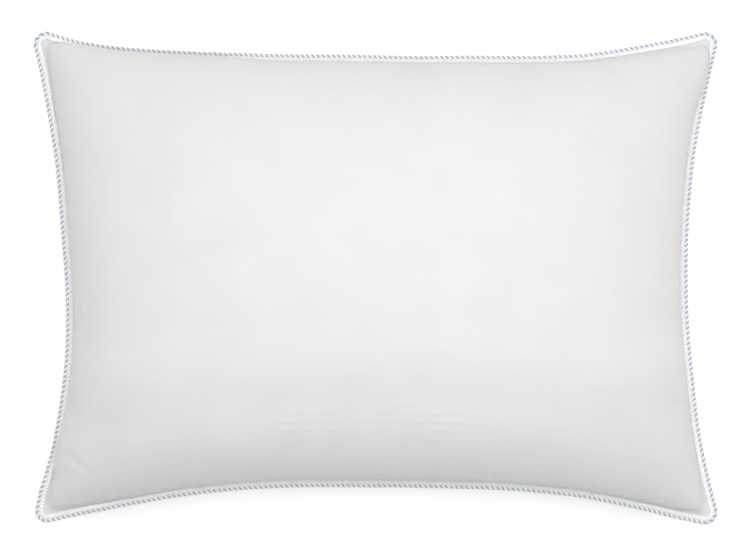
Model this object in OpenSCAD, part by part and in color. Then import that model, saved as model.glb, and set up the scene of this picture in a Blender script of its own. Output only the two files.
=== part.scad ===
// Bed pillow: two cotton panels over a soft fill, closed by a folded tape that carries a twisted cord.
// It lies on its back panel. X is its length, Y its width and Z its height, and Z = 0 is what it lies on.

/* [Size] */
// Length over the corners, with the cord
pillow_length = 702; // [500:1:900]
// Width over the corners, with the cord
pillow_width = 505; // [400:1:700]
// Height of the filled pillow as it lies
loft = 175; // [140:1:210]
// Height of the seam above the surface that the pillow lies on
seam_height = 80; // [60:1:100]
// How far the seam drops towards each corner
corner_droop = 12; // [0:1:25]

/* [Outline] */
// How far the fill draws in the right side at its middle
right_pull = 30; // [5:1:45]
// How far the fill draws in the upper side at its middle
upper_pull = 24; // [5:1:45]
// How far the fill draws in the left side at its middle
left_pull = 31; // [5:1:45]
// How far the fill draws in the lower side at its middle
lower_pull = 37; // [5:1:45]
// How far out the upper side leans on its left half, and in on its right half
upper_lean = 1.2; // [-4:0.1:4]
// How far out the left side leans on its upper half, and in on its lower half
left_lean = 4.4; // [-6:0.1:6]
// Radius of the corners, to the outside of the cord
corner_radius = 11; // [11:0.5:30]

/* [Panels] */
// Thickness of the cotton cloth
cloth_t = 0.4; // [0.3:0.05:0.6]
// Fullness of the sides: a higher number is flatter on top and steeper at the edge
fullness = 2.4; // [2:0.1:3.2]
// How much of the underside's bulge is pressed flat by the surface it lies on
underside_press = 28; // [20:1:40]

/* [Edge] */
// Diameter of the twisted cord
cord_d = 3.6; // [3.4:0.1:4.4]
// Width of tape that shows beside the cord
tape_width = 4.5; // [3:0.5:5]
// Thickness of one leaf of the folded tape
tape_t = 0.5; // [0.4:0.05:0.6]
// Thickness of the sewing thread
thread_d = 0.3; // [0.2:0.05:0.3]
// Length of the opening through which the bag is filled, to the next lower step of the side
opening_length = 220; // [140:20:260]

/* [Hidden] */

half_length = pillow_length / 2;
half_width = pillow_width / 2;
gap = 0.05;                      // left between layers that are sewn together
cord_r = cord_d / 2;
line_r = corner_radius - cord_r; // corner radius along the middle of the cord

// Distances inwards from the middle of the cord
tape_fold = cord_r + gap;
tape_edge = tape_fold + tape_width;
panel_raw_edge = tape_fold + tape_t + 3 * gap;
panel_rise = tape_edge + 2 * gap;
seam_row = (panel_raw_edge + panel_rise) / 2;
closing_row = seam_row - 4 * thread_d;

// Heights above the seam's own level, up through the sewn layers
thread_level = cloth_t + gap + thread_d / 2;
leaf_low = cloth_t + thread_d + 2 * gap;
leaf_high = leaf_low + tape_t;
fold_round = 0.8 * tape_t;

crown = loft - seam_height - cloth_t;       // rise of the front panel over its flat edge
underside = seam_height + underside_press;  // depth of the back panel if nothing pressed on it
press_soft = 12;                            // half the height over which it bends to lie flat
flat_share = 0.95 * pow(1 - (seam_height + press_soft) / underside, 1 / fullness);

fill_scale = 0.98;  // the fill's outline beside the panels' own
fill_gap = 1;        // left between the fill and the cloth at the crown
fill_rim = 0.5;      // half the thickness of the fill's rim

droop_from = 0.3;    // where the seam starts to drop and where it is level again, 1 being a corner
droop_to = 0.95;
edge_power = 40;     // how close to its edge the bulge starts, round the corners
right_power = 2.05;  // how square each side's curve is, 2 being a parabola
upper_power = 3.6;
left_power = 2.15;
lower_power = 2.5;
long_steps = 15;
short_steps = 11;
corner_steps = 5;
front_rings = 10;
back_rings = 8;
fill_rings = 8;

// Sides anticlockwise from the right: pull, power, half length and distance to the corner's centre, steps,
// and lean, which is how far out the side's second half stands and its first half lies in
reach_x = half_length - corner_radius;
reach_y = half_width - corner_radius;
SIDES = [
    [right_pull, right_power, reach_y, reach_x, short_steps, 0],
    [upper_pull, upper_power, reach_x, reach_y, long_steps, upper_lean],
    [left_pull, left_power, reach_y, reach_x, short_steps, -left_lean],
    [lower_pull, lower_power, reach_x, reach_y, long_steps, 0]
];

// The angle by which a side runs out of square where it meets a corner
function flare(side) = atan(side[1] * side[0] / side[2]);

// Half the length of a side between its corners' curves
function side_half(side) = side[2] - line_r * sin(flare(side));

// How far out a side stands, at a distance along it from its middle, anticlockwise
function side_reach(side, along) =
    let (a = flare(side), t = max(-1, min(1, along / side_half(side))))
    let (pull = side[0] - line_r * (1 - cos(a)))
    side[3] + line_r * cos(a) - pull * (1 - pow(abs(t), side[1])) + side[5] * sin(180 * t) * (1 - t * t);

function turned(v, angle) = [
    v.x * cos(angle) - v.y * sin(angle),
    v.x * sin(angle) + v.y * cos(angle)
];

// A point of a side, for t from -1 to 1 along it, as [place, outward direction], the side facing +X
function side_point(side, t) =
    let (half = side_half(side), pull = side_reach(side, half) - side_reach(side, 0))
    let (curve = pull * side[1] * pow(abs(t), side[1] - 1) * sign(t))
    let (lean = side[5] * (PI * cos(180 * t) * (1 - t * t) - 2 * t * sin(180 * t)))
    let (slope = (curve + lean) / half)
    [[side_reach(side, t * half), t * half], [1, -slope] / norm([1, slope])];

function corner_point(side, angle) =
    let (out = [cos(angle), sin(angle)])
    [[side[3], side[2]] + line_r * out, out];

// The middle of the cord all round, anticlockwise, as [place, outward direction]
EDGE = [
    for (k = [0:3])
    let (side = SIDES[k], next = SIDES[(k + 1) % 4], steps = side[4])
    let (from = -flare(side), to = 90 + flare(next))
    let (along = [for (i = [1:steps - 1]) side_point(side, 2 * i / steps - 1)])
    let (round_it = [for (i = [0:corner_steps]) corner_point(side, from + (to - from) * i / corner_steps)])
    for (e = concat(along, round_it))
    [turned(e[0], 90 * k), turned(e[1], 90 * k)]
];

// How far a point has gone from the middle to the side, along X and along Y, each from 0 to 1
function along_x(p) = min(1, abs(p.x) / side_reach(SIDES[p.x > 0 ? 0 : 2], p.x > 0 ? p.y : -p.y));
function along_y(p) = min(1, abs(p.y) / side_reach(SIDES[p.y > 0 ? 1 : 3], p.y > 0 ? -p.x : p.x));

// Level of the seam below a point inside the outline, share being how far out it is
function seam_level(e, share) =
    let (p = share * e[0], t = (along_x(p) * along_y(p) - droop_from) / (droop_to - droop_from))
    let (c = min(1, max(0, t)))
    seam_height - corner_droop * c * c * (3 - 2 * c);

// Height of the bulge as a part of its greatest, 1 in the middle and 0 at the edge
function bulge(e, share) =
    let (p = share * e[0], across = 1 - pow(along_x(p), fullness), up = 1 - pow(along_y(p), fullness))
    sqrt(across * up * (1 - pow(share, edge_power)));

// A level that bends over to stay at or above a floor
function rests(level, floor_level) =
    let (over = level - floor_level)
    let (bent = pow(max(0, over + press_soft), 2) / (4 * press_soft))
    floor_level + (over > press_soft ? over : bent);

// A point of the edge, moved inwards and up
function at_edge(e, inwards, up) =
    let (p = e[0] - inwards * e[1])
    [p.x, p.y, seam_level(e, 1) + up];

function edge_ring(inwards, up) = [for (e = EDGE) at_edge(e, inwards, up)];

// Rings of the front and back surfaces; share is the ring's size beside the whole outline
function front_ring(share, inwards, up, height, scale = 1) = [
    for (e = EDGE)
    let (p = scale * share * (e[0] - inwards * e[1]))
    [p.x, p.y, seam_level(e, share) + up + height * bulge(e, share)]
];

function back_ring(share, inwards, down, depth, floor_level, scale = 1) = [
    for (e = EDGE)
    let (p = scale * share * (e[0] - inwards * e[1]))
    [p.x, p.y, rests(seam_level(e, share) - down - depth * bulge(e, share), floor_level)]
];

// Ring sizes from the middle outwards, close together where the cloth turns down to the seam
function shares(count, least) =
    let (start = asin(least))
    [for (i = [0:count]) sin(start + (90 - start) * i / count)];

function backwards(list) = [for (i = [len(list) - 1:-1:0]) list[i]];

// A closed solid through a stack of rings, shut at each end by a fan to a point. A panel's rings go out
// over one face and back over the other, so the triangles of the second half mirror those of the first.
module lofted(rings, first, last) {
    n = len(rings[0]);
    top = len(rings) * n;
    end = (len(rings) - 1) * n;
    points = [for (ring = rings) each ring, first, last];
    walls = [
        for (i = [0:len(rings) - 2], j = [0:n - 1])
        let (a = i * n + j, b = i * n + (j + 1) % n, c = b + n, d = a + n)
        each i < len(rings) / 2 ? [[a, b, c], [a, c, d]] : [[a, b, d], [b, c, d]]
    ];
    fans = [for (j = [0:n - 1]) let (k = (j + 1) % n) each [[top, k, j], [top + 1, end + j, end + k]]];
    polyhedron(points, concat(walls, fans));
}

// A strip of the given section, as [inwards, up] points, swept along the edge, all round or with two ends
module swept(section, stops = EDGE, all_round = true) {
    n = len(section);
    points = [for (e = stops) each [for (s = section) at_edge(e, s[0], s[1])]];
    walls = [
        for (i = [0:len(stops) - (all_round ? 1 : 2)], j = [0:n - 1])
        let (a = i * n, b = (i + 1) % len(stops) * n, k = (j + 1) % n)
        each [[a + j, b + j, b + k], [a + j, b + k, a + k]]
    ];
    end = (len(stops) - 1) * n;
    caps = all_round ? [] : [[for (j = [0:n - 1]) j], [for (j = [n - 1:-1:0]) end + j]];
    polyhedron(points, concat(walls, caps));
}

// A round section for a cord or thread
function round_section(inwards, up, r, sides) = [
    for (i = [0:sides - 1])
    let (a = 360 * i / sides)
    [inwards - r * sin(a), up + r * cos(a)]
];

module front_panel() {
    outer = shares(front_rings, 0.15);
    drop = cloth_t - gap;
    color("whitesmoke")
    lofted(
        concat(
            [for (s = outer) front_ring(s, panel_rise, cloth_t, crown)],
            [edge_ring(panel_raw_edge, cloth_t), edge_ring(panel_raw_edge, gap)],
            [for (s = backwards(outer)) front_ring(s, panel_rise + cloth_t, cloth_t - drop, crown)]
        ),
        [0, 0, loft],
        [0, 0, loft - drop]
    );
}

module back_panel() {
    outer = shares(back_rings, flat_share);
    rise = cloth_t - gap;
    color("white")
    lofted(
        concat(
            [for (s = outer) back_ring(s, panel_rise + cloth_t, gap, underside, rise)],
            [edge_ring(panel_raw_edge, -gap), edge_ring(panel_raw_edge, -cloth_t)],
            [for (s = backwards(outer)) back_ring(s, panel_rise, cloth_t, underside, 0)]
        ),
        [0, 0, rise],
        [0, 0, 0]
    );
}

module fill() {
    inwards = panel_rise + cloth_t;
    height = crown - fill_gap - fill_rim;
    depth = underside - 2 * fill_gap;
    floor_level = cloth_t + fill_gap;
    front = shares(fill_rings, 0.15);
    back = shares(back_rings, flat_share);
    color("ivory")
    lofted(
        concat(
            [for (s = front) front_ring(s, inwards, fill_rim, height, fill_scale)],
            [for (s = backwards(back)) back_ring(s, inwards, fill_rim, depth, floor_level, fill_scale)]
        ),
        [0, 0, seam_height + fill_rim + height],
        [0, 0, floor_level]
    );
}

module binding_tape() {
    inner = tape_fold + tape_t;
    color("white")
    swept([
        [tape_edge, leaf_high],
        [tape_fold + fold_round, leaf_high],
        [tape_fold, leaf_high - fold_round],
        [tape_fold, fold_round - leaf_high],
        [tape_fold + fold_round, -leaf_high],
        [tape_edge, -leaf_high],
        [tape_edge, -leaf_low],
        [inner, -leaf_low],
        [inner, leaf_low],
        [tape_edge, leaf_low]
    ]);
}

module piping_cord() {
    color("lightsteelblue") swept(round_section(0, 0, cord_r, 8));
}

// A flat band on each leaf, as wide and thick as the row of slanting stitches
module overedge_thread() {
    near = tape_fold + 2 * fold_round;
    low = leaf_high + gap;
    high = low + thread_d;
    color("snow") {
        swept([[tape_edge, high], [near, high], [near, low], [tape_edge, low]]);
        swept([[tape_edge, -low], [near, -low], [near, -high], [tape_edge, -high]]);
    }
}

// The needle thread lies on the front panel's edge, and the bobbin thread on the back panel's
module stitch_row(row, stops = EDGE, all_round = true) {
    for (level = [thread_level, -thread_level])
        swept(round_section(row, level, thread_d / 2, 4), stops, all_round);
}

module seam_thread() {
    color("gainsboro") stitch_row(seam_row);
}

// The opening is in the middle of the left side
module closing_thread() {
    opening = [for (e = EDGE) if (e[0].x < 0 && abs(e[0].y) < opening_length / 2) e];
    color("lightgray") stitch_row(closing_row, opening, false);
}

front_panel();
back_panel();
fill();
binding_tape();
piping_cord();
overedge_thread();
seam_thread();
closing_thread();
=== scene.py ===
"""Bed pillow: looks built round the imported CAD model. Metres, in the CAD frame."""
import math

import bpy
import numpy as np
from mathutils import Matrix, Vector, noise


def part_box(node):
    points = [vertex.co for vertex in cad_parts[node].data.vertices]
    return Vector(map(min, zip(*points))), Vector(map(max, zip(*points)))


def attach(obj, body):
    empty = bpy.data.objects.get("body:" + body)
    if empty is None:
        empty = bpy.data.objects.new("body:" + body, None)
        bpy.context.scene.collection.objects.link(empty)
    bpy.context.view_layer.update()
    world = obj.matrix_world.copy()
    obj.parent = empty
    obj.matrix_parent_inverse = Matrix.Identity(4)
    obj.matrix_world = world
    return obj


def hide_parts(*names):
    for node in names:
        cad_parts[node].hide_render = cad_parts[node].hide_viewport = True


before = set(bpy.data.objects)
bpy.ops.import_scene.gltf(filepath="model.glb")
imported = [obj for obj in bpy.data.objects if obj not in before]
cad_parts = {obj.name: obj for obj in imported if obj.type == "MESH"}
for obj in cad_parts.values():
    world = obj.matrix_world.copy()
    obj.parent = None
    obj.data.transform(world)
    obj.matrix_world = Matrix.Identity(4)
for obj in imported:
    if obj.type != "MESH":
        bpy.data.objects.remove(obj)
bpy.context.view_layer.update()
RNG = np.random.default_rng(20)
UP = np.array([0.0, 0.0, 1.0])
MM = 0.001

# ---------------------------------------------------------------- sizes, from the CAD model
CORD_LOW, CORD_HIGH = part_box("piping_cord")
CORD_R = 1.8 * MM
CORNER_R = 11 * MM
LINE_R = CORNER_R - CORD_R
REACH_X = (CORD_HIGH.x - CORD_LOW.x) / 2 - CORNER_R
REACH_Y = (CORD_HIGH.y - CORD_LOW.y) / 2 - CORNER_R
# Sides anticlockwise from the right: pull, power, half length and distance to the corner's centre, and lean,
# which is how far out the side's second half stands and its first half lies in
SIDES = [
    (0.030, 2.05, REACH_Y, REACH_X, 0.0),
    (0.024, 3.6, REACH_X, REACH_Y, 0.0012),
    (0.031, 2.15, REACH_Y, REACH_X, -0.0044),
    (0.037, 2.5, REACH_X, REACH_Y, 0.0),
]
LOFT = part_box("front_panel")[1].z
SEAM_Z = 0.080
DROOP = 0.012  # how much lower the seam is at the corners
DROOP_FROM, DROOP_OVER = 0.30, 0.65  # where it begins and how far it takes, as shares of the way to a corner
LEVEL_WOBBLE, PLAN_WOBBLE = 1.2 * MM, 0.35 * MM
CLOTH_T = 0.35 * MM
CLOTH_MID = 0.225 * MM  # from the seam to the middle of either panel's cloth
UNDERSIDE = 0.108  # the back panel's depth below the seam before the floor presses it flat
PRESS_SOFT = 0.012
FULLNESS = 2.4
DOME_RISE = 0.95 * 0.0946  # a first guess at how far each face stands off the seam's plane
# Distances inwards from the middle of the cord, and heights above the seam
TAPE_FOLD, TAPE_EDGE = 1.85 * MM, 6.35 * MM
PANEL_RAW_EDGE, PANEL_RISE = 2.5 * MM, 6.45 * MM
SEAM_ROW, CLOSING_ROW = 4.475 * MM, 3.275 * MM
THREAD_LEVEL = 0.6 * MM
LEAF_LOW, LEAF_HIGH = 0.8 * MM, 1.3 * MM
THREAD_R = 0.15 * MM
OPENING = 0.220
CUT = np.array([0.690, 0.497])  # the panels' size between the seams, before they are sewn
CELLS = (138, 99)


# ---------------------------------------------------------------- the sewn edge
def ease(share):
    """0 to 1 with a gentle start and end."""
    t = np.clip(share, 0, 1)
    return t * t * (3 - 2 * t)


def flare(side):
    """The angle that a side makes at its ends with its middle."""
    return math.atan(side[1] * side[0] / side[2])


def side_reach(k, along):
    """How far out side k stands, at a distance along it from its middle, anticlockwise."""
    pull, power, length, out, lean = SIDES[k]
    a = flare(SIDES[k])
    t = np.clip(along / (length - LINE_R * math.sin(a)), -1, 1)
    drawn_in = (pull - LINE_R * (1 - math.cos(a))) * (1 - np.abs(t) ** power)
    return out + LINE_R * math.cos(a) - drawn_in + lean * np.sin(np.pi * t) * (1 - t * t)


def shares(x, y):
    """How far a point has gone from the middle to the sides, along X and along Y."""
    ax = np.abs(x) / np.where(x > 0, side_reach(0, y), side_reach(2, -y))
    ay = np.abs(y) / np.where(y > 0, side_reach(1, -x), side_reach(3, x))
    return np.minimum(1, ax), np.minimum(1, ay)


def seam_level(x, y):
    """The seam's height: it droops towards the corners."""
    ax, ay = shares(x, y)
    return SEAM_Z - DROOP * ease((ax * ay - DROOP_FROM) / DROOP_OVER)


def outline():
    """The middle of the cord all round, anticlockwise: places, outward directions, middles of the corners."""
    places, normals, middles = [], [], []
    side_count, arc_count = 600, 80
    for k, (pull, power, length, out, lean) in enumerate(SIDES):
        a, b = flare(SIDES[k]), flare(SIDES[(k + 1) % 4])
        half = length - LINE_R * math.sin(a)
        pull -= LINE_R * (1 - math.cos(a))
        t = np.linspace(-1, 1, side_count)
        slope = pull * power * np.abs(t) ** (power - 1) * np.sign(t)
        slope += lean * (np.pi * np.cos(np.pi * t) * (1 - t * t) - 2 * t * np.sin(np.pi * t))
        slope /= half
        normal = np.c_[np.ones_like(t), -slope] / np.sqrt(1 + slope**2)[:, None]
        turn = np.linspace(-a, math.pi / 2 + b, arc_count + 2)[1:-1]
        arc = np.c_[np.cos(turn), np.sin(turn)]
        c, s = round(math.cos(k * math.pi / 2)), round(math.sin(k * math.pi / 2))
        spin = np.array([[c, s], [-s, c]])
        places.append(np.r_[np.c_[side_reach(k, t * half), t * half], [out, length] + LINE_R * arc] @ spin)
        normals.append(np.r_[normal, arc] @ spin)
        middles.append(k * (side_count + arc_count) + side_count + arc_count // 2)
    return np.concatenate(places), np.concatenate(normals), middles


# How far the edge wanders outwards from that outline, in mm, by place round the edge: 0 is the upper right
# corner, 1 the upper left, 2 the lower left and 3 the lower right
WANDER = [
    (0, 2), (0.1, 1), (0.2, -1), (0.35, 1), (0.75, 1.5), (0.95, 0),
    (1, 3), (1.1, 3.5), (1.25, 0.5), (1.7, 1), (1.85, 0.5), (1.95, 3),
    (2, 0), (2.1, 2), (2.3, -1), (2.5, 0.5), (2.8, 0), (2.95, 4),
    (3, 2), (3.1, 1), (3.25, 1.5), (3.45, 0), (3.75, 0), (3.9, 2), (4, 2),
]
WANDER_EASE = 18 * MM


def waves(phase, cycles):
    """A smooth uneven line from about -1 to 1, while phase goes from 0 to 1."""
    total = sum(np.sin(2 * np.pi * (n * phase + RNG.random())) for n in cycles)
    return total / math.sqrt(2 * len(cycles))


class Edge:
    """The middle of the cord, a little uneven as sewn. Stations are distances along it."""

    def __init__(self):
        places, normals, middles = outline()
        places, normals = np.r_[places, places[:1]], np.r_[normals, normals[:1]]
        self.at = np.r_[0, np.cumsum(np.linalg.norm(np.diff(places, axis=0), axis=1))]
        self.length = self.at[-1]
        self.corners = self.at[middles]
        phase = self.at / self.length
        level = seam_level(places[:, 0], places[:, 1]) + LEVEL_WOBBLE * waves(phase, (7, 11, 19, 29))
        out = self.wander() + PLAN_WOBBLE * waves(phase, (9, 14, 17, 23))
        places = places + out[:, None] * normals
        self.table = np.c_[places, level, normals]

    def place(self, s):
        """The place round the edge at distances s: 0 to 4, a whole number at each corner."""
        corners = np.r_[self.corners, self.corners[0] + self.length]
        return np.interp(corners[0] + np.mod(s - corners[0], self.length), corners, range(5))

    def wander(self):
        """WANDER in metres at each point of the outline, with its corners rounded off."""
        step = 1 * MM
        s = np.arange(0, self.length, step)
        reach = round(WANDER_EASE / step)
        kernel = np.hanning(2 * reach + 1)
        values = np.interp(self.place(s), *np.transpose(WANDER)) * MM
        ring = np.r_[values[-reach:], values, values[:reach]]
        eased = np.convolve(ring, kernel / kernel.sum(), "valid")
        return np.interp(self.at, s, eased, period=self.length)

    def station(self, s):
        """(middle of the cord, outward direction, direction of travel) at distances s."""
        s = np.mod(s, self.length)
        row = np.stack([np.interp(s, self.at, column) for column in self.table.T], -1)
        out = np.concatenate([row[..., 3:], np.zeros_like(row[..., :1])], -1)
        out /= np.linalg.norm(out, axis=-1, keepdims=True)
        return row[..., :3], out, np.cross(UP, out)

    def point(self, s, inwards, up):
        """Points at distances s, so far inwards from the middle of the cord and so far up."""
        place, out, _ = self.station(s)
        return place - np.asarray(inwards)[..., None] * out + np.asarray(up)[..., None] * UP


EDGE = Edge()


# ---------------------------------------------------------------- mesh helpers
def grid_quads(rows, cols, wrap_rows=False, wrap_cols=False):
    """Quads over a grid of vertices numbered row by row."""
    i = np.arange(rows if wrap_rows else rows - 1)[:, None]
    j = np.arange(cols if wrap_cols else cols - 1)[None, :]
    i2, j2 = (i + 1) % rows, (j + 1) % cols
    corners = (i * cols + j, i2 * cols + j, i2 * cols + j2, i * cols + j2)
    return np.stack(np.broadcast_arrays(*corners), -1).reshape(-1, 4)


def grid_uvs(u, v, wrap_rows=False, wrap_cols=False):
    """The corners' places on the flat cloth, for grid_quads; u and v have one more value where it wraps."""
    u0, u1, v0, v1 = u[:-1, None], u[1:, None], v[None, :-1], v[None, 1:]
    corners = [np.stack(np.broadcast_arrays(a, b), -1) for a, b in ((u0, v0), (u1, v0), (u1, v1), (u0, v1))]
    return np.stack(corners, -2).reshape(-1, 4, 2)


def make_piece(name, verts, quads, uvs, material, nodes, caps=()):
    """A smooth-shaded mesh that rides on the body and stands for CAD nodes."""
    mesh = bpy.data.meshes.new(name)
    faces = np.asarray(quads).tolist() + [list(c) for c in caps]
    mesh.from_pydata(np.asarray(verts, float).reshape(-1, 3).tolist(), [], faces)
    layer = mesh.uv_layers.new(name="cloth")
    flat = np.zeros((len(mesh.loops), 2))
    flat[: len(quads) * 4] = np.asarray(uvs, float).reshape(-1, 2)
    layer.data.foreach_set("uv", flat.ravel())
    mesh.polygons.foreach_set("use_smooth", [True] * len(mesh.polygons))
    mesh.materials.append(material)
    mesh.validate()
    mesh.update()
    piece = bpy.data.objects.new(name, mesh)
    bpy.context.scene.collection.objects.link(piece)
    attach(piece, "root")
    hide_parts(*nodes)
    return piece


def unit(v):
    return v / np.linalg.norm(v, axis=-1, keepdims=True)


def skin(centres, e1, e2, sides, closed=False):
    """Tubes round the paths centres[tube, point], with half-axes e1 and e2.

    Gives vertices, quads, UVs and end caps.
    """
    count, points = centres.shape[:2]
    angle = 2 * np.pi * np.arange(sides) / sides
    ring = np.cos(angle)[:, None] * e1[..., None, :] + np.sin(angle)[:, None] * e2[..., None, :]
    verts = centres[..., None, :] + ring
    start = (np.arange(count) * points * sides)[:, None, None]
    quads = (grid_quads(points, sides, closed, True) + start).reshape(-1, 4)
    steps = np.linalg.norm(np.diff(centres, axis=1, append=centres[:, :1]), axis=-1)
    uvs = []
    for run in steps:
        u = np.r_[0, np.cumsum(run)]
        uvs.append(grid_uvs(u if closed else u[:-1], np.arange(sides + 1) / sides))
    caps = []
    if not closed:
        for first in start[:, 0, 0]:
            last = first + (points - 1) * sides
            caps += [range(first, first + sides), range(last + sides - 1, last - 1, -1)]
    return verts, quads, np.concatenate(uvs), caps


def tubes(paths, radius, sides):
    """Round tubes along many short open paths."""
    run = unit(np.gradient(paths, axis=1))
    across = unit(np.cross(run, UP))
    return skin(paths, radius * across, radius * np.cross(across, run), sides)


def shell(verts, quads, rim, thickness):
    """A sheet given thickness: two layers, joined round the rim."""
    corners = verts[quads]
    face = np.cross(corners[:, 2] - corners[:, 0], corners[:, 3] - corners[:, 1])
    normal = np.zeros_like(verts)
    for k in range(4):
        np.add.at(normal, quads[:, k], face)
    half = unit(normal) * thickness / 2
    n = len(verts)
    after = np.roll(rim, -1)
    edge = np.stack([rim, rim + n, after + n, after], -1)
    return np.r_[verts + half, verts - half], np.r_[quads, quads[:, ::-1] + n, edge]


# ---------------------------------------------------------------- the panels
def coons(low, high, left, right):
    """Fills a grid from its sides: low and high run with the first axis, left and right with the second."""
    u = np.linspace(0, 1, len(low))[:, None, None]
    v = np.linspace(0, 1, len(left))[None, :, None]
    across = (1 - v) * low[:, None] + v * high[:, None]
    along = (1 - u) * left[None] + u * right[None]
    ends = (1 - u) * ((1 - v) * low[0] + v * high[0]) + u * ((1 - v) * low[-1] + v * high[-1])
    return across + along - ends


def rim_stations(k, count):
    """Distances along the cord from corner k to the next, evenly spaced along the seam."""
    first, last = EDGE.corners[k], EDGE.corners[(k + 1) % 4]
    s = np.linspace(first, last + (EDGE.length if last < first else 0), 4000)
    run = np.r_[0, np.cumsum(np.linalg.norm(np.diff(EDGE.point(s, PANEL_RISE, 0.0), axis=0), axis=1))]
    return np.interp(np.linspace(0, run[-1], count + 1), run, s)


def rim_sides(nu, nv):
    """Stations of the grid's sides: lower and upper from the left, left and right from below."""
    return rim_stations(2, nu), rim_stations(0, nu)[::-1], rim_stations(1, nv)[::-1], rim_stations(3, nv)


def rim_ring(nu, nv):
    """Indices of the grid's edge, anticlockwise from the lower left, and their stations."""
    low, high, left, right = rim_sides(nu, nv)
    index = np.arange((nu + 1) * (nv + 1)).reshape(nu + 1, nv + 1)
    ring = np.r_[index[:-1, 0], index[-1, :-1], index[:0:-1, -1], index[0, :0:-1]]
    return ring, np.r_[low[:-1], right[:-1], high[:0:-1], left[:0:-1]]


def flat_cut(nu, nv):
    """Where each point of the grid is on the flat cloth."""
    along = np.linspace(-0.5, 0.5, nu + 1) * CUT[0]
    across = np.linspace(-0.5, 0.5, nv + 1) * CUT[1]
    return np.stack(np.meshgrid(along, across, indexing="ij"), -1)


def dome(nu, nv):
    """The bag's two faces before it is blown up, lying in the seam's plane."""
    sides = [EDGE.point(s, PANEL_RISE, 0.0)[:, :2] for s in rim_sides(nu, nv)]
    place = coons(*sides)
    share = np.abs(flat_cut(nu, nv)) / (CUT / 2)
    rise = DOME_RISE * np.sqrt(np.prod(1 - share**FULLNESS, axis=-1))
    return np.dstack([place, rise]), np.dstack([place, -rise])


def inflate(nu, nv, frames=24):
    """Cloth simulation: the panels are one closed bag, pinned at the seam and blown up to their cut size."""
    top, under = dome(nu, nv)
    index = np.arange(top[..., 0].size).reshape(nu + 1, nv + 1)
    inner = np.zeros(index.shape, bool)
    inner[1:-1, 1:-1] = True
    index_under = index.copy()
    index_under[inner] = index.size + np.arange(inner.sum())
    flat = np.dstack([flat_cut(nu, nv), np.zeros(index.shape)])
    places = np.r_[top.reshape(-1, 3), under[inner]]
    cut = np.r_[flat.reshape(-1, 3), flat[inner]]
    quads = grid_quads(nu + 1, nv + 1)
    mesh = bpy.data.meshes.new("bag")
    mesh.from_pydata(places.tolist(), [], np.r_[quads, index_under.ravel()[quads[:, ::-1]]].tolist())
    bag = bpy.data.objects.new("bag", mesh)
    bpy.context.scene.collection.objects.link(bag)
    bag.shape_key_add(name="Basis")
    rest = bag.shape_key_add(name="cut")
    rest.data.foreach_set("co", cut.ravel())
    rest.value = 0
    bag.vertex_groups.new(name="seam").add(index[~inner].tolist(), 1.0, "REPLACE")
    cloth = bag.modifiers.new("cloth", "CLOTH")
    settings = cloth.settings
    settings.quality = 6
    settings.mass = 0.1
    settings.tension_stiffness = settings.compression_stiffness = 40
    settings.shear_stiffness = 20
    settings.bending_stiffness = 0.3
    settings.tension_damping = settings.compression_damping = settings.shear_damping = 10
    settings.bending_damping = 1
    settings.air_damping = 2
    settings.vertex_group_mass = "seam"
    settings.rest_shape_key = rest
    settings.use_pressure = True
    settings.uniform_pressure_force = 4
    settings.effector_weights.gravity = 0
    cloth.collision_settings.use_collision = False
    cloth.collision_settings.use_self_collision = False
    cloth.point_cache.frame_start, cloth.point_cache.frame_end = 1, frames
    for step in range(1, frames + 1):
        bpy.context.scene.frame_set(step)
    blown = bag.evaluated_get(bpy.context.evaluated_depsgraph_get()).data
    places = np.empty(len(places) * 3)
    blown.vertices.foreach_get("co", places)
    places = places.reshape(-1, 3)
    bpy.data.objects.remove(bag)
    bpy.data.meshes.remove(mesh)
    bpy.context.scene.frame_set(1)
    return places[index], places[index_under]


def refine(grid):
    """Twice as many cells, smoothly through the same points."""
    for axis in (0, 1):
        p = np.moveaxis(grid, axis, 0)
        mid = np.empty((len(p) - 1,) + p.shape[1:])
        mid[1:-1] = (9 * (p[1:-2] + p[2:-1]) - p[:-3] - p[3:]) / 16
        mid[0] = (3 * p[0] + 6 * p[1] - p[2]) / 8
        mid[-1] = (3 * p[-1] + 6 * p[-2] - p[-3]) / 8
        fine = np.empty((2 * len(p) - 1,) + p.shape[1:])
        fine[::2], fine[1::2] = p, mid
        grid = np.moveaxis(fine, 0, axis)
    return grid


def grid_normals(grid):
    return unit(np.cross(np.gradient(grid, axis=0), np.gradient(grid, axis=1)))


def sewn_level(nu, nv, place):
    """The seam's own level under every point of the grid, with the unevenness of the edge running in."""
    sides = []
    for s in rim_sides(nu, nv):
        rim = EDGE.point(s, PANEL_RISE, 0.0)
        sides.append((rim[:, 2] - seam_level(rim[:, 0], rim[:, 1]))[:, None])
    return seam_level(place[..., 0], place[..., 1]) + coons(*sides)[..., 0]


# How far the front panel bulges out over the tape, in mm, by place round the edge
OVERHANG = [
    (0, 4.0), (0.03, 0.4), (0.3, 0.3), (0.6, 0.4), (0.67, 1.0), (0.71, 3.8), (0.74, 5.4), (0.85, 5.6),
    (0.95, 7.6), (1, 4.5), (1.02, 0.4), (1.3, 0.2), (1.5, 0.4), (1.76, 0.8), (1.81, 3.8), (1.85, 7.2),
    (1.88, 4.0), (1.91, 0.8), (2, 0.6), (2.3, 0.6), (2.8, 0.6), (3, 0.4), (3.1, 0.2), (3.5, 0.2),
    (3.8, 0.8), (3.85, 2.2), (3.89, 6.6), (3.93, 8.8), (3.97, 9.2), (4, 4.0),
]
SHOULDER = 3.0 * MM  # how far its foot is pushed out everywhere, so that it stands up steeply at the seam
# Along the cloth from the seam: how soon both moves set in, where they begin to fade, and over what distance
BULGE_START, BULGE_FULL, BULGE_END = 3.2 * MM, 8 * MM, 32 * MM
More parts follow.
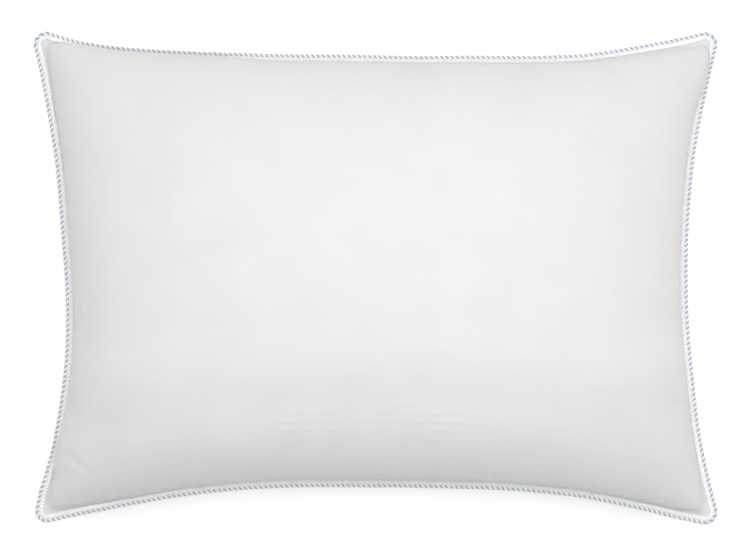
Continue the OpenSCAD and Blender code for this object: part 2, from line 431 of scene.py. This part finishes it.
# Heights above the seam at which each move begins and is full
SHOULDER_HEIGHTS = 1.5 * MM, 8.5 * MM
OVERHANG_HEIGHTS = 2.0 * MM, 5.0 * MM
OVERHANG_WOBBLE = 0.2 * MM


def overhang(nu, nv, rise):
    """Sideways moves of the front panel's grid: it stands up steeply at the seam and bulges over the tape."""
    low, high, left, right = rim_sides(nu, nv)
    moves = []
    for s in (left, right, low, high):
        reach = np.interp(EDGE.place(s), *np.transpose(OVERHANG)) * MM
        reach += OVERHANG_WOBBLE * waves(s / EDGE.length, (31, 43, 57))
        out = EDGE.station(s)[1]
        moves.append((SHOULDER * out, reach[:, None] * out))
    flat = flat_cut(nu, nv)
    inset = CUT / 2 - np.abs(flat)
    near = (1 - np.exp(-inset / BULGE_START)) * np.exp(-np.maximum(0, inset - BULGE_FULL) / BULGE_END)
    total = 0
    for part, (begin, full) in enumerate((SHOULDER_HEIGHTS, OVERHANG_HEIGHTS)):
        share = near * ease((rise - begin) / (full - begin))[..., None]
        across = np.where(flat[..., :1] < 0, moves[0][part][None], moves[1][part][None])
        along = np.where(flat[..., 1:] < 0, moves[2][part][:, None], moves[3][part][:, None])
        total = total + share[..., :1] * across + share[..., 1:] * along
    return total


CORNER_SPAN, CORNER_SOFT, CORNER_EASE = 60 * MM, 9 * MM, 0.75


def ease_corners(flat):
    """How much of its height the cloth keeps: near a corner it climbs away from the seam more gently."""
    inset = np.maximum(CUT / 2 - np.abs(flat), 0)
    near_corner = np.exp(-np.sum(inset**2, axis=-1) / CORNER_SPAN**2)
    near_seam = 1 - np.prod(1 - np.exp(-inset / CORNER_SOFT), axis=-1)
    return 1 - CORNER_EASE * near_corner * near_seam


GATHER = 0.55 * MM  # height of the gathers at the seam
GATHER_PITCH = 0.018
GATHER_START, GATHER_END = 0.004, 0.020


def puckers(flat):
    """Small gathers that run in from the seam and die out."""
    inset = np.maximum(CUT / 2 - np.abs(flat), 0)
    height = 0
    for axis in (0, 1):
        for side in (-1, 1):
            phase = flat[..., 1 - axis] / CUT[1 - axis] + 0.5
            crowd = np.clip(0.55 + 0.6 * waves(phase, (3, 5, 7, 11)), 0, 1.2)
            size = int(CUT[1 - axis] / GATHER_PITCH)
            line = waves(phase, RNG.integers(size * 0.6, size * 1.5, 9))
            d = inset[..., axis]
            near = np.exp(-d / GATHER_END) * (1 - np.exp(-d / GATHER_START)) * (flat[..., axis] * side > 0)
            height = height + GATHER * crowd * line * near
    return height


def bend_to_floor(level, floor):
    """Heights pressed flat where they would go below the floor, with a soft bend."""
    over = level - floor
    bent = np.maximum(0, over + PRESS_SOFT) ** 2 / (4 * PRESS_SOFT)
    return floor + np.where(over > PRESS_SOFT, over, bent)


# Faint creases of the front panel: the two ends and the depth of each
CREASES = [
    ((-0.322, -0.172), (-0.292, -0.200), 0.8 * MM),
    ((0.226, 0.158), (0.272, 0.186), 0.4 * MM),
    ((-0.300, 0.205), (-0.262, 0.172), 0.4 * MM),
]
CREASE_WIDTH = 4 * MM


def creases(place):
    """How far the creases sink the cloth."""
    height = 0
    for a, b, depth in CREASES:
        a, b = np.array(a), np.array(b)
        run = b - a
        t = np.clip(((place[..., :2] - a) @ run) / (run @ run), 0, 1)
        d = np.linalg.norm(place[..., :2] - a - t[..., None] * run, axis=-1)
        fade = np.sin(np.pi * np.clip(t, 0.02, 0.98)) ** 0.5
        height = height - depth * np.exp(-((d / CREASE_WIDTH) ** 2)) * fade
    return height


def panel(name, grid, sign, material, node):
    """One panel: its face, and the flat margin that goes in between the leaves of the tape."""
    nu, nv = grid.shape[0] - 1, grid.shape[1] - 1
    ring, stations = rim_ring(nu, nv)
    face = grid.reshape(-1, 3).copy()
    face[ring] = EDGE.point(stations, PANEL_RISE, sign * CLOTH_MID)
    margins = [SEAM_ROW, PANEL_RAW_EDGE]
    verts = np.concatenate([face] + [EDGE.point(stations, inset, sign * CLOTH_MID) for inset in margins])
    flat = flat_cut(nu, nv).reshape(-1, 2)
    flats = [flat] + [flat[ring] * (1 + 2 * (PANEL_RISE - inset) / CUT) for inset in margins]
    rings = [ring] + [len(face) + k * len(ring) + np.arange(len(ring)) for k in (0, 1)]
    quads = [grid_quads(nu + 1, nv + 1)]
    for inside, outside in zip(rings, rings[1:]):
        quads.append(np.stack([inside, outside, np.roll(outside, -1), np.roll(inside, -1)], -1))
    quads = np.concatenate(quads)
    rim = rings[-1]
    if sign < 0:
        quads, rim = quads[:, ::-1], rim[::-1]
    verts, quads = shell(verts, quads, rim, CLOTH_T)
    uvs = np.tile(np.concatenate(flats), (2, 1))[quads]
    piece = make_piece(name, verts, quads, uvs, material, [node])
    return piece


CROWN_SPAN = 0.09  # the crown is brought down to the loft over this height


def make_panels():
    """The middle of each panel's cloth between the seams, as two grids."""
    nu, nv = CELLS
    top, under = inflate(nu, nv)
    top[..., 2] *= (LOFT - SEAM_Z - CLOTH_T / 2 - CLOTH_MID) / top[..., 2].max()
    under[..., 2] *= UNDERSIDE / -under[..., 2].min()
    fine = []
    for grid, sign in ((top, 1), (under, -1)):
        grid = refine(grid)
        cells = grid.shape[0] - 1, grid.shape[1] - 1
        flat = flat_cut(*cells)
        grid[..., 2] *= ease_corners(flat)
        bulge = overhang(*cells, grid[..., 2]) if sign > 0 else 0
        grid[..., 2] += sewn_level(*cells, grid) + sign * CLOTH_MID
        height = puckers(flat) + (creases(grid) if sign > 0 else 0)
        grid += bulge
        grid += sign * height[..., None] * grid_normals(grid)
        if sign < 0:
            grid[..., 2] = bend_to_floor(grid[..., 2], CLOTH_T / 2)
        fine.append(grid)
    height = fine[0][..., 2]
    too_high = max(0, height.max() + CLOTH_T / 2 - LOFT)
    height -= too_high * np.clip((height - SEAM_Z) / CROWN_SPAN, 0, 1)
    return fine


FILL_CLEAR, FILL_LUMP = 3.2 * MM, 1.8 * MM  # the gap to the cloth, and how much it varies
FILL_CLEAR_OVER = 8 * MM  # the gap opens up over this rise
FILL_RIM = 0.3 * MM
FILL_WIDTH = 0.978  # as a share of the panels' width


def make_fill(top, under, material):
    """The filling: a closed lumpy form a little inside the two panels, coming to a thin rim at the seam."""
    nu, nv = top.shape[0] - 1, top.shape[1] - 1
    level = sewn_level(nu, nv, top)
    sides = []
    for grid, sign in ((top, 1), (under, -1)):
        rise = sign * (grid[..., 2] - level)
        points = [Vector(p) for p in grid.reshape(-1, 3)]
        lump = np.array([noise.noise(p * 28) + 0.5 * noise.noise(p * 75) for p in points])
        clear = FILL_CLEAR + FILL_LUMP * lump.reshape(rise.shape)
        rise = np.maximum(FILL_RIM, rise - clear * np.clip(rise / FILL_CLEAR_OVER, 0, 1) - 0.01 * rise)
        sides.append(np.dstack([grid[..., :2] * FILL_WIDTH, level + sign * rise]))
    index = np.arange((nu + 1) * (nv + 1)).reshape(nu + 1, nv + 1)
    inner = np.zeros(index.shape, bool)
    inner[1:-1, 1:-1] = True
    index_under = index.copy()
    index_under[inner] = index.size + np.arange(inner.sum())
    sides[0][~inner, 2] = level[~inner]
    verts = np.r_[sides[0].reshape(-1, 3), sides[1][inner]]
    quads = grid_quads(nu + 1, nv + 1)
    flat = flat_cut(nu, nv).reshape(-1, 2)
    uvs = np.r_[flat[quads], flat[quads[:, ::-1]]]
    quads = np.r_[quads, index_under.ravel()[quads[:, ::-1]]]
    piece = make_piece("filling", verts, quads, uvs, material, ["fill"])
    return piece


# ---------------------------------------------------------------- the tape and its stitches
WHIP_COUNT = 694
WHIP_SLANT = 1.9 * MM
WHIP_FROM, WHIP_TO = 2.5 * MM, 6.3 * MM
TAPE_STEP = 0.62 * MM
ROLL, ROLL_SINK = 1.2 * MM, 0.5 * MM  # how far the tape swells between two stitches, and sinks under one
SCALLOP, SCALLOP_FROM = 0.8 * MM, 4.0 * MM  # how far a stitch draws the tape's edge out, and from what inset


class Whip:
    """Where each slanting stitch starts, with the unevenness of a sewing machine."""

    def __init__(self):
        step = EDGE.length / WHIP_COUNT
        self.starts = (np.arange(WHIP_COUNT) + RNG.uniform(-0.10, 0.10, WHIP_COUNT)) * step

    def phase(self, s):
        """Rises by 1 from each stitch to the next."""
        table = np.r_[self.starts - EDGE.length, self.starts, self.starts + EDGE.length]
        return np.interp(np.mod(s, EDGE.length), table, np.arange(-WHIP_COUNT, 2 * WHIP_COUNT))

    def slant(self, inset):
        """How far along the edge a stitch has run at an inset."""
        return WHIP_SLANT * (inset - WHIP_FROM) / (WHIP_TO - WHIP_FROM)


def make_tape(whip, material):
    """Folded tape: each leaf is drawn down along the slanting stitches and scalloped between them."""
    leaf = np.r_[TAPE_EDGE, TAPE_EDGE - 0.2 * MM, TAPE_EDGE - 0.5 * MM, np.linspace(5.4, 3.1, 6) * MM]
    turn = np.radians(np.linspace(90, -90, 9))
    nose = np.c_[TAPE_FOLD + 0.9 * MM * (1 - np.cos(turn)), LEAF_HIGH * np.sin(turn)]
    lining = [(inwards, -LEAF_LOW) for inwards in (TAPE_EDGE, 4.9 * MM, 3.7 * MM, 2.75 * MM)]
    lining += [(2.42 * MM, -0.5 * MM), (2.35 * MM, 0)]
    lining = np.array(lining + [(inwards, -level) for inwards, level in lining[-2::-1]])
    up = np.r_[np.full(len(leaf), LEAF_HIGH), nose[:, 1], np.full(len(leaf), -LEAF_HIGH), lining[:, 1]]
    inset = np.r_[leaf, nose[:, 0], leaf[::-1], lining[:, 0]]
    count = round(EDGE.length / TAPE_STEP)
    s = np.arange(count) * EDGE.length / count
    along = s[:, None] + whip.slant(inset)[None]
    swell = np.abs(np.sin(np.pi * whip.phase(along)))
    outer = np.abs(up) > LEAF_HIGH - 0.01 * MM
    window = np.clip((inset - 2.3 * MM) / (1.0 * MM), 0, 1)
    window *= np.clip((TAPE_EDGE + 0.25 * MM - inset) / (0.8 * MM), 0, 1)
    height = up + np.where(outer, np.sign(up) * (ROLL * swell - ROLL_SINK) * window, 0)
    drawn = np.clip((inset - SCALLOP_FROM) / (TAPE_EDGE - SCALLOP_FROM), 0, 1) ** 2
    inwards = inset - np.where(outer, SCALLOP * (1 - swell) * drawn, 0)
    verts = EDGE.point(s[:, None], inwards, height)
    girth = np.r_[0, np.cumsum(np.hypot(np.diff(inset, append=inset[0]), np.diff(up, append=up[0])))]
    quads = grid_quads(len(s), len(inset), True, True)[:, ::-1]
    uvs = grid_uvs(np.r_[s, EDGE.length], girth, True, True)[:, ::-1]
    piece = make_piece("binding_tape_woven", verts, quads, uvs, material, ["binding_tape"])
    return piece


def make_whip_stitches(whip, material):
    """The slanting stitches over each leaf of the tape."""
    inset = np.linspace(WHIP_FROM, WHIP_TO - 0.3 * MM, 9)
    rise = LEAF_HIGH - 0.16 * MM + 0.10 * MM * np.sin(np.linspace(0, np.pi, 9))
    rise[[0, -1]] -= 0.35 * MM
    s = whip.starts[:, None] - whip.slant(inset)
    paths = np.concatenate([EDGE.point(s, inset, sign * rise) for sign in (1, -1)])
    verts, quads, uvs, caps = tubes(paths, THREAD_R, 6)
    return make_piece("whip_stitches", verts, quads, uvs, material, ["overedge_thread"], caps)


def lockstitches(name, row, first, last, pitch, material, node):
    """Rows of lockstitch: needle thread on the front panel's margin, bobbin thread on the back panel's."""
    count = round((last - first) / pitch)
    gap = 0.06  # the share of a stitch that is bare at each end
    t = np.linspace(0, 1, 7)
    s = first + (np.arange(count)[:, None] + gap + (1 - 2 * gap) * t) * (last - first) / count
    dip = 0.16 * MM * (1 - np.sin(np.pi * t) ** 0.5)
    level = THREAD_LEVEL - dip + 0 * s
    paths = np.concatenate([EDGE.point(s, row + 0 * s, sign * level) for sign in (1, -1)])
    verts, quads, uvs, caps = tubes(paths, THREAD_R, 6)
    return make_piece(name, verts, quads, uvs, material, [node], caps)


# ---------------------------------------------------------------- the cord
PLY_HEIGHT, PLY_OUT = 0.62 * MM, 1.17 * MM
LAY = 5.3 * MM
POINTS_A_TURN = 14


def make_cord(name, plies, width, material):
    """Plies of a cord with right-handed twist, laid round the edge with a whole number of turns."""
    turns = round(EDGE.length / LAY)
    s = np.arange(turns * POINTS_A_TURN) * EDGE.length / (turns * POINTS_A_TURN)
    place, out, _ = EDGE.station(s)
    paths, sides, ups = [], [], []
    for ply in plies:
        angle = 2 * np.pi * (turns * s / EDGE.length + ply / 4)[:, None]
        away = np.cos(angle) * UP + np.sin(angle) * out
        uneven = 0.05 * MM * waves(s / EDGE.length, RNG.integers(90, 400, 6))[:, None]
        path = place + (PLY_OUT + uneven) * away
        run = unit(np.roll(path, -1, 0) - np.roll(path, 1, 0))
        across = unit(np.cross(away, run))
        paths.append(path)
        sides.append(np.cross(run, across) * PLY_HEIGHT)
        ups.append(across * width)
    verts, quads, uvs, caps = skin(np.array(paths), np.array(sides), np.array(ups), 8, closed=True)
    return make_piece(name, verts, quads, uvs, material, ["piping_cord"], caps)


# ---------------------------------------------------------------- materials
class Shader:
    """A fabric material: one Principled shader, with colour and bump from its nodes."""

    def __init__(self, name, roughness, sheen, sheen_roughness=0.4):
        self.material = bpy.data.materials.new(name)
        self.material.use_nodes = True
        self.tree = self.material.node_tree
        self.shader = self.tree.nodes["Principled BSDF"]
        self.shader.inputs["Roughness"].default_value = roughness
        self.shader.inputs["Specular IOR Level"].default_value = 0.25
        self.shader.inputs["Sheen Weight"].default_value = sheen
        self.shader.inputs["Sheen Roughness"].default_value = sheen_roughness
        cloth = self.node("ShaderNodeUVMap", uv_map="cloth")
        split = self.node("ShaderNodeSeparateXYZ", {0: cloth.outputs[0]})
        self.u, self.v = split.outputs[0], split.outputs[1]

    def node(self, kind, inputs=(), **settings):
        made = self.tree.nodes.new(kind)
        for key, value in settings.items():
            setattr(made, key, value)
        for key, value in dict(inputs).items():
            if isinstance(value, bpy.types.NodeSocket):
                self.tree.links.new(value, made.inputs[key])
            else:
                made.inputs[key].default_value = value
        return made

    def math(self, operation, a, b=0.0, c=0.0):
        return self.node("ShaderNodeMath", {0: a, 1: b, 2: c}, operation=operation).outputs[0]

    def wave(self, socket, length):
        """-1 to 1 along the socket, once for each length."""
        return self.math("SINE", self.math("MULTIPLY", socket, 2 * math.pi / length))

    def noise(self, u, v, detail=2.0, object_space=False):
        """Noise from 0 to 1 whose features are about u by v metres."""
        if object_space:
            scale = 1 / u
            vector = self.node("ShaderNodeTexCoord").outputs["Object"]
        else:
            scale = 1.0
            parts = {0: self.math("MULTIPLY", self.u, 1 / u), 1: self.math("MULTIPLY", self.v, 1 / v)}
            vector = self.node("ShaderNodeCombineXYZ", parts).outputs[0]
        inputs = {"Vector": vector, "Scale": scale, "Detail": detail}
        return self.node("ShaderNodeTexNoise", inputs).outputs["Fac"]

    def spread(self, value, low, high):
        """0 to 1 while the value goes from low to high."""
        return self.node("ShaderNodeMapRange", {"Value": value, "From Min": low, "From Max": high}).outputs[0]

    def colour(self, fac, low, high):
        mix = self.node("ShaderNodeMix", {"Factor": fac, "A": (*low, 1), "B": (*high, 1)}, data_type="RGBA")
        self.tree.links.new(mix.outputs["Result"], self.shader.inputs["Base Color"])

    def bump(self, height, distance, strength=1.0):
        made = self.node("ShaderNodeBump", {"Height": height, "Distance": distance, "Strength": strength})
        self.tree.links.new(made.outputs[0], self.shader.inputs["Normal"])
        return self.material


def grey(value, tint=0.0):
    """A near-neutral colour; tint above 0 is bluer."""
    return value * (1 - tint), value, value * (1 + tint)


def percale(name, low, high):
    """Fine plain weave with a few slubs each way and a faint uneven bleach."""
    m = Shader(name, roughness=0.85, sheen=0.10)
    pitch = 0.28 * MM
    weave = m.math("MULTIPLY", m.wave(m.u, pitch), m.wave(m.v, pitch))
    warp = m.spread(m.noise(9 * MM, 0.45 * MM), 0.60, 0.72)
    weft = m.spread(m.noise(0.45 * MM, 9 * MM), 0.60, 0.72)
    slub = m.math("MAXIMUM", warp, weft)
    cloud = m.spread(m.noise(60 * MM, 60 * MM), 0.3, 0.7)
    m.colour(m.math("MULTIPLY_ADD", slub, 0.5, m.math("MULTIPLY", cloud, 0.5)), grey(low), grey(high))
    crinkle = m.spread(m.noise(4 * MM, 4 * MM, 4.0), 0.3, 0.7)
    uneven = m.math("MULTIPLY_ADD", slub, 0.9, m.math("MULTIPLY", crinkle, 0.8))
    height = m.math("MULTIPLY_ADD", weave, 0.35, uneven)
    return m.bump(height, 0.05 * MM, 0.6)


def yarn(name, low, high, fibre, twist):
    """Spun yarn: fine fibres wound round it; v goes once round."""
    m = Shader(name, roughness=0.9, sheen=0.3, sheen_roughness=0.5)
    wind = m.math("MULTIPLY_ADD", m.v, 2 * math.pi * 5, m.math("MULTIPLY", m.u, 2 * math.pi / twist))
    strand = m.math("SINE", wind)
    fuzz = m.noise(fibre * 8, 0.12, 3.0)
    m.colour(m.math("MULTIPLY_ADD", strand, 0.25, fuzz), low, high)
    return m.bump(m.math("MULTIPLY_ADD", strand, 0.6, fuzz), 0.08 * MM, 0.7)


def woven_tape(name):
    """A narrow herringbone tape; u runs along it and v across."""
    m = Shader(name, roughness=0.85, sheen=0.15)
    zigzag = m.math("PINGPONG", m.v, 1.2 * MM)
    rib = m.wave(m.math("ADD", m.u, zigzag), 0.55 * MM)
    cross = m.wave(m.v, 0.4 * MM)
    fuzz = m.noise(0.8 * MM, 0.8 * MM, 3.0)
    m.colour(m.math("MULTIPLY_ADD", rib, 0.2, fuzz), grey(0.92, 0.004), grey(0.97, 0.004))
    return m.bump(m.math("MULTIPLY_ADD", rib, 0.5, m.math("MULTIPLY_ADD", cross, 0.3, fuzz)), 0.06 * MM, 0.6)


def down(name):
    """Loose clusters of fibre."""
    m = Shader(name, roughness=0.95, sheen=0.4)
    place = m.node("ShaderNodeTexCoord").outputs["Object"]
    cluster = m.node("ShaderNodeTexVoronoi", {"Vector": place, "Scale": 90.0})
    fuzz = m.noise(2.5 * MM, 2.5 * MM, 6.0, object_space=True)
    m.colour(fuzz, (0.78, 0.77, 0.73), (0.90, 0.89, 0.86))
    return m.bump(m.math("MULTIPLY_ADD", fuzz, 0.6, cluster.outputs["Distance"]), 1.5 * MM, 0.7)


# ---------------------------------------------------------------- the part
WHIP = Whip()
TOP, UNDER = make_panels()
panel("panel_front", TOP, 1, percale("percale_front", 0.735, 0.775), "front_panel")
panel("panel_back", UNDER, -1, percale("percale_back", 0.73, 0.77), "back_panel")
make_fill(TOP[::2, ::2], UNDER[::2, ::2], down("fibre_clusters"))
make_tape(WHIP, woven_tape("tape_weave"))
WHITE_THREAD = yarn("thread_white", grey(0.78), grey(0.90), 0.3 * MM, 0.9 * MM)
make_whip_stitches(WHIP, WHITE_THREAD)
lockstitches("lockstitch_seam", SEAM_ROW, 0.0, EDGE.length, 2.6 * MM, WHITE_THREAD, "seam_thread")
LEFT_MIDDLE = (EDGE.corners[1] + EDGE.corners[2]) / 2
lockstitches(
    "lockstitch_closing", CLOSING_ROW, LEFT_MIDDLE - OPENING / 2, LEFT_MIDDLE + OPENING / 2, 2.0 * MM,
    WHITE_THREAD, "closing_thread",
)
BLUE_YARN = yarn("ply_blue", (0.42, 0.49, 0.60), (0.50, 0.57, 0.66), 0.6 * MM, 2.2 * MM)
WHITE_YARN = yarn("ply_white", grey(0.90, 0.01), grey(0.97, 0.01), 0.6 * MM, 2.2 * MM)
make_cord("cord_blue_plies", (0.04, 0.96), 0.52 * MM, BLUE_YARN)
make_cord("cord_white_plies", (1.97, 3.03), 0.56 * MM, WHITE_YARN)


# ---------------------------------------------------------------- floor, light and camera
def make_floor():
    half = 18.0
    mesh = bpy.data.meshes.new("floor")
    corners = [(-half, -half, 0), (half, -half, 0), (half, half, 0), (-half, half, 0)]
    mesh.from_pydata(corners, [], [(0, 1, 2, 3)])
    floor = bpy.data.objects.new("floor", mesh)
    bpy.context.scene.collection.objects.link(floor)
    material = bpy.data.materials.new("floor_white")
    material.use_nodes = True
    shader = material.node_tree.nodes["Principled BSDF"]
    shader.inputs["Base Color"].default_value = (0.92, 0.92, 0.92, 1)
    shader.inputs["Roughness"].default_value = 0.9
    shader.inputs["Specular IOR Level"].default_value = 0.1
    shader.inputs["Emission Color"].default_value = (1, 1, 1, 1)
    shader.inputs["Emission Strength"].default_value = 0.32
    mesh.materials.append(material)


def soft_box(name, azimuth, elevation, distance, size, power):
    light = bpy.data.lights.new(name, "AREA")
    light.shape = "DISK"
    light.size = size
    light.energy = power
    made = bpy.data.objects.new(name, light)
    bpy.context.scene.collection.objects.link(made)
    a, e = math.radians(azimuth), math.radians(elevation)
    away = Vector((math.sin(a) * math.cos(e), math.cos(a) * math.cos(e), math.sin(e)))
    made.location = distance * away + Vector((0, 0, 0.1))
    made.rotation_mode = "QUATERNION"
    made.rotation_quaternion = away.to_track_quat("Z", "Y")
    made.visible_camera = False


make_floor()
# Each soft box stands at an azimuth (0 is +Y, 90 is +X), an elevation and a distance, with its size and power
for light in (
    ("overhead", 0, 90, 1.2, 0.8, 6.5),
    ("key", 0, 35, 3.0, 1.8, 23.0),
    ("right", 90, 45, 1.3, 0.8, 4.2),
    ("left", 270, 45, 1.3, 0.8, 2.95),
):
    soft_box(*light)
world = bpy.data.worlds.new("studio")
world.use_nodes = True
world.node_tree.nodes["Background"].inputs["Color"].default_value = (1, 1, 1, 1)
world.node_tree.nodes["Background"].inputs["Strength"].default_value = 0.315
bpy.context.scene.world = world
bpy.context.scene.view_settings.view_transform = "Standard"

VIEW_WIDTH = 0.772  # how much of the seam's plane the picture is wide
DISTANCE = 3.6
camera = bpy.data.cameras.new("camera")
camera.sensor_width = 36
camera.lens = camera.sensor_width * DISTANCE / VIEW_WIDTH
camera.clip_end = 100
camera = bpy.data.objects.new("camera", camera)
camera.location = (-1.03 * MM, 0.5 * MM, SEAM_Z + DISTANCE)
bpy.context.scene.collection.objects.link(camera)
bpy.context.scene.camera = camera
